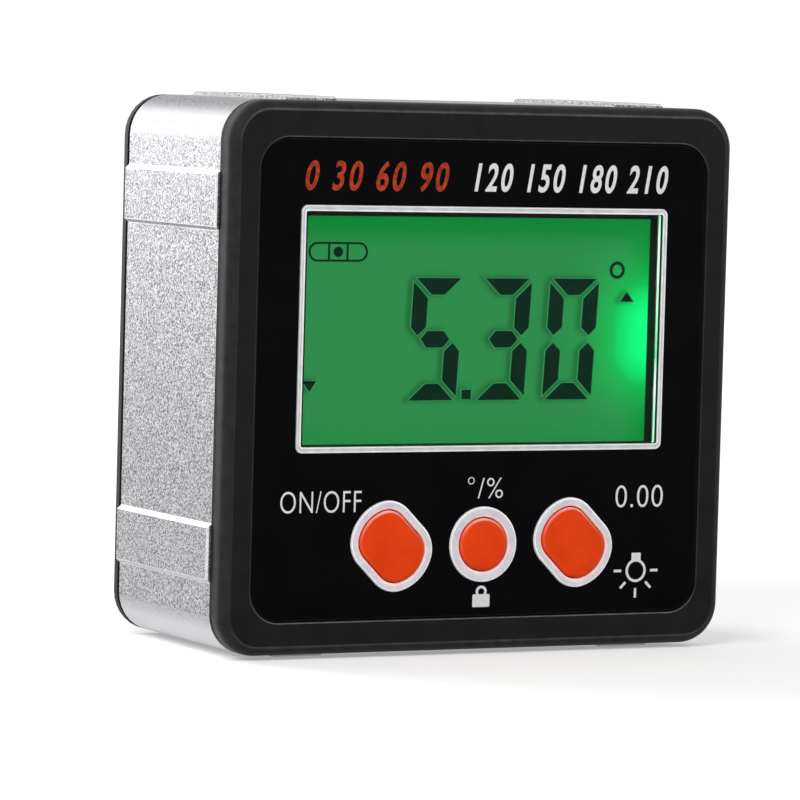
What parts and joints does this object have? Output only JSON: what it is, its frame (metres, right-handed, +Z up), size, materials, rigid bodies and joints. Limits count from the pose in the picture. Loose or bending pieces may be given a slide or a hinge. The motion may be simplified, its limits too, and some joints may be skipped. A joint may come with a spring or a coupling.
{
  "type": "inclinometer",
  "caption": "Square digital inclinometer with a lit display, push buttons, an aluminium case with raised magnetic bands and a battery door in its back.",
  "frame": {"origin": "under the middle of the case, on the plane that its two lower bands stand on", "axes": "+X to the right of someone who reads the display, +Y from the display to the back, +Z up; the display faces -Y"},
  "size_m": [0.056, 0.025, 0.054],
  "materials": {
    "aluminium": "bead blasted and anodised, silver",
    "black_plastic": "fine satin black",
    "gloss_panel": "glossy black",
    "silver_trim": "silver paint, satin",
    "clear_window": "clear, polished",
    "orange_rubber": "orange red, satin",
    "switch_steel": "bare sheet",
    "chip_black": "moulded black",
    "foam": "closed-cell foam",
    "polarizer_film": "film that shows green over the lit light guide",
    "display_glass": "clear, polished",
    "light_guide": "milky clear",
    "white_plastic": "plain white",
    "contact_rubber": "striped contact rubber",
    "board_green": "green solder mask",
    "steel": "zinc plated",
    "cell_jacket": "printed film jacket over the can, blue",
    "red_lead": "red insulation",
    "black_lead": "black insulation",
    "magnet_nickel": "bright nickel plate"
  },
  "bodies": {
    "housing": {"case_frame": "aluminium", "front_bezel": "black_plastic", "rear_cover": "black_plastic", "face_panel": "gloss_panel", "window_trim": "silver_trim", "button_ring_left": "silver_trim", "button_ring_middle": "silver_trim", "button_ring_right": "silver_trim", "display_window": "clear_window", "switch_body_left": "switch_steel", "switch_body_middle": "switch_steel", "switch_body_right": "switch_steel", "tilt_sensor": "chip_black", "controller_chip": "chip_black", "display_gasket": "foam", "front_polarizer": "polarizer_film", "rear_polarizer": "polarizer_film", "display_glass": "display_glass", "light_guide": "light_guide", "light_reflector": "white_plastic", "backlight_led": "white_plastic", "display_frame": "white_plastic", "contact_strip": "contact_rubber", "circuit_board": "board_green", "board_screw_lower_left": "steel", "board_screw_lower_right": "steel", "board_screw_upper_right": "steel", "board_screw_upper_left": "steel", "case_screw_lower_left": "steel", "case_screw_lower_right": "steel", "case_screw_upper_right": "steel", "case_screw_upper_left": "steel", "battery_spring_upper": "steel", "battery_spring_lower": "steel", "contact_plate_link": "steel", "contact_plate_upper": "steel", "contact_plate_lower": "steel", "battery_upper": "cell_jacket", "battery_lower": "cell_jacket", "battery_lead_lower": "red_lead", "battery_lead_upper": "black_lead", "magnet_bottom_left": "magnet_nickel", "magnet_bottom_right": "magnet_nickel", "magnet_top_left": "magnet_nickel", "magnet_top_right": "magnet_nickel", "magnet_left_lower": "magnet_nickel", "magnet_left_upper": "magnet_nickel", "magnet_right_lower": "magnet_nickel", "magnet_right_upper": "magnet_nickel"},
    "left_button": {"button_cap_left": "orange_rubber", "switch_plunger_left": "chip_black"},
    "middle_button": {"button_cap_middle": "orange_rubber", "switch_plunger_middle": "chip_black"},
    "right_button": {"button_cap_right": "orange_rubber", "switch_plunger_right": "chip_black"},
    "door": {"battery_door": "black_plastic"}
  },
  "joints": [
    {"name": "left_button_press", "type": "slide", "parent": "housing", "child": "left_button", "axis": [0, 1, 0], "range_m": [0, 0.00035], "stiffness_N_per_m": 2000},
    {"name": "middle_button_press", "type": "slide", "parent": "housing", "child": "middle_button", "axis": [0, 1, 0], "range_m": [0, 0.00035], "stiffness_N_per_m": 2000},
    {"name": "right_button_press", "type": "slide", "parent": "housing", "child": "right_button", "axis": [0, 1, 0], "range_m": [0, 0.00035], "stiffness_N_per_m": 2000},
    {"name": "battery_door_hinge", "type": "hinge", "parent": "housing", "child": "door", "pos_m": [0, 0.0125, 0.015], "axis": [-1, 0, 0], "range_deg": [0, 80]}
  ]
}
